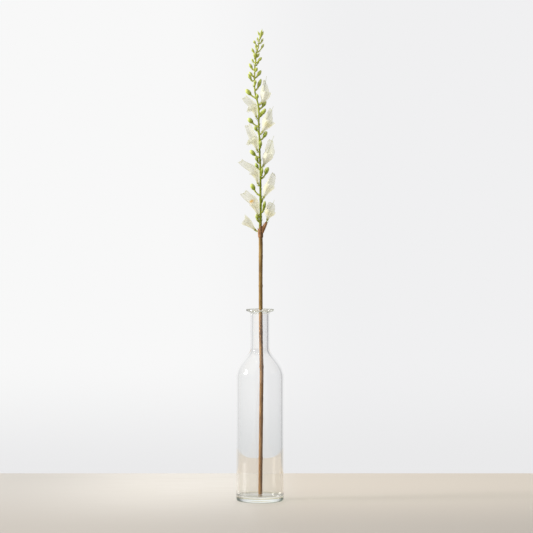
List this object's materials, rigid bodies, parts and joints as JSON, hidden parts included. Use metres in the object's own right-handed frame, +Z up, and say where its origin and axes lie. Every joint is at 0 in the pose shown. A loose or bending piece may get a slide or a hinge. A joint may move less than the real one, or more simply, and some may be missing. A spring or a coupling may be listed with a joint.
{
  "type": "foxglove flower spike in a bottle vase",
  "caption": "Tall slender spike of white two-lipped tubular flowers and green buds on a woody stem, standing in a clear glass bottle vase.",
  "frame": {"origin": "centre of the vase's flat foot, on the surface it stands on", "axes": "+Z up along the vase's axis, -Y towards the front, +X to the right seen from the front"},
  "size_m": [0.074, 0.074, 0.738],
  "materials": {
    "glass": "clear polished, with a faint green tint in the thick foot",
    "stem": "matt, tan bark below and fresh green above the sheath",
    "sheath": "matt dry reddish brown",
    "petal": "thin, matt, translucent creamy white",
    "calyx": "satin olive green",
    "bud": "satin yellow green"
  },
  "bodies": {
    "root": {"bud_01": "bud", "bud_02": "bud", "bud_03": "bud", "bud_04": "bud", "bud_05": "bud", "bud_06": "bud", "bud_07": "bud", "bud_08": "bud", "bud_09": "bud", "bud_10": "bud", "bud_11": "bud", "bud_12": "bud", "bud_13": "bud", "bud_14": "bud", "bud_15": "bud", "bud_16": "bud", "bud_17": "bud", "bud_18": "bud", "bud_19": "bud", "bud_20": "bud", "bud_21": "bud", "bud_22": "bud", "bud_23": "bud", "bud_24": "bud", "bud_25": "bud", "bud_26": "bud", "bud_27": "bud", "bud_28": "bud", "bud_29": "bud", "bud_30": "bud", "bud_31": "bud", "bud_32": "bud", "bud_33": "bud", "bud_34": "bud", "bud_35": "bud", "bud_36": "bud", "flower_01_calyx": "calyx", "flower_01_corolla": "petal", "flower_02_calyx": "calyx", "flower_02_corolla": "petal", "flower_03_calyx": "calyx", "flower_03_corolla": "petal", "flower_04_calyx": "calyx", "flower_04_corolla": "petal", "flower_05_calyx": "calyx", "flower_05_corolla": "petal", "flower_06_calyx": "calyx", "flower_06_corolla": "petal", "flower_07_calyx": "calyx", "flower_07_corolla": "petal", "flower_08_calyx": "calyx", "flower_08_corolla": "petal", "flower_09_calyx": "calyx", "flower_09_corolla": "petal", "flower_10_calyx": "calyx", "flower_10_corolla": "petal", "growing_tip": "bud", "sheath": "sheath", "stem": "stem", "vase": "glass"}
  },
  "joints": []
}
